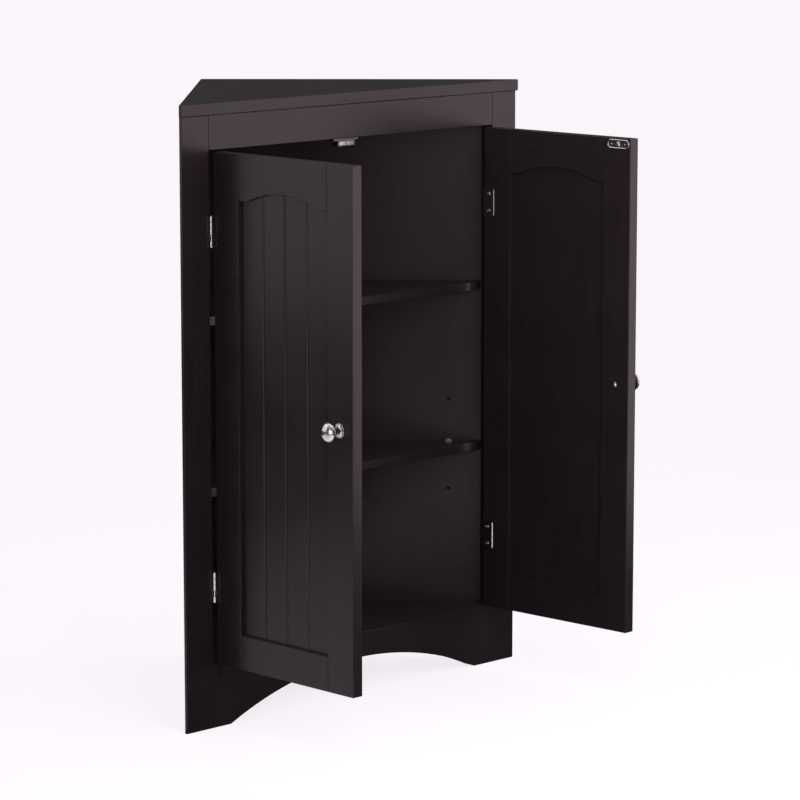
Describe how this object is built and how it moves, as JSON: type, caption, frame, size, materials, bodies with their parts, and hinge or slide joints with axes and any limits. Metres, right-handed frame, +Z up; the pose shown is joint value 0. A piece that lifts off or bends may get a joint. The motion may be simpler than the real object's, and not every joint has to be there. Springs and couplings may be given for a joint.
{
  "type": "corner cupboard",
  "caption": "Corner cupboard: triangular carcass with an arched apron, framed doors with planked panels, a fixed shelf, a shelf on movable clips and a magnetic catch.",
  "frame": {"origin": "on the floor, in the middle of the joint where the two side panels meet at the rear corner, 10.6 mm in front of the outermost rear edge", "axes": "+Z up, the front faces -Y, +X to the right seen from the front"},
  "size_m": [0.603, 0.5579, 0.8],
  "materials": {
    "lacquer": "satin dark brown lacquer over wood",
    "polished": "bright plated steel",
    "catch_metal": "dull plated steel"
  },
  "bodies": {
    "cabinet": {"top_panel": "lacquer", "top_rail": "lacquer", "arched_apron": "lacquer", "bottom_panel": "lacquer", "fixed_shelf": "lacquer", "catch_batten": "lacquer", "left_frame_stile": "lacquer", "right_frame_stile": "lacquer", "left_side_panel": "lacquer", "right_side_panel": "lacquer", "left_shelf_clip_1": "polished", "left_shelf_clip_2": "polished", "right_shelf_clip_1": "polished", "right_shelf_clip_2": "polished", "left_lower_hinge_frame_leaf": "polished", "left_lower_hinge_pin": "polished", "left_upper_hinge_frame_leaf": "polished", "left_upper_hinge_pin": "polished", "right_lower_hinge_frame_leaf": "polished", "right_lower_hinge_pin": "polished", "right_upper_hinge_frame_leaf": "polished", "right_upper_hinge_pin": "polished", "catch_housing": "catch_metal", "left_catch_magnet": "polished", "right_catch_magnet": "polished", "left_catch_screw": "polished", "right_catch_screw": "polished"},
    "left_door": {"left_lower_hinge_door_leaf": "polished", "left_upper_hinge_door_leaf": "polished", "left_hinge_screw_1": "polished", "left_hinge_screw_2": "polished", "left_hinge_screw_3": "polished", "left_hinge_screw_4": "polished", "left_door_hinge_stile": "lacquer", "left_door_free_stile": "lacquer", "left_door_arched_rail": "lacquer", "left_door_bottom_rail": "lacquer", "left_door_panel": "lacquer", "left_knob": "polished", "left_knob_screw": "polished", "left_strike_plate": "polished", "left_strike_screw": "polished"},
    "right_door": {"right_lower_hinge_door_leaf": "polished", "right_upper_hinge_door_leaf": "polished", "right_hinge_screw_1": "polished", "right_hinge_screw_2": "polished", "right_hinge_screw_3": "polished", "right_hinge_screw_4": "polished", "right_door_hinge_stile": "lacquer", "right_door_free_stile": "lacquer", "right_door_arched_rail": "lacquer", "right_door_bottom_rail": "lacquer", "right_door_panel": "lacquer", "right_knob": "polished", "right_knob_screw": "polished", "right_strike_plate": "polished", "right_strike_screw": "polished"},
    "adjustable_shelf": {"loose_shelf": "lacquer"}
  },
  "joints": [
    {"name": "left_door_hinge", "type": "hinge", "parent": "cabinet", "child": "left_door", "pos_m": [-0.2528, -0.29509, 0.412], "axis": [0, 0, -1], "range_deg": [-90, 85]},
    {"name": "right_door_hinge", "type": "hinge", "parent": "cabinet", "child": "right_door", "pos_m": [0.2528, -0.29509, 0.412], "axis": [0, 0, 1], "range_deg": [-93, 82]},
    {"name": "loose_shelf_lift", "type": "slide", "parent": "cabinet", "child": "adjustable_shelf", "axis": [0, 0, 1], "range_m": [0, 0.062]}
  ]
}
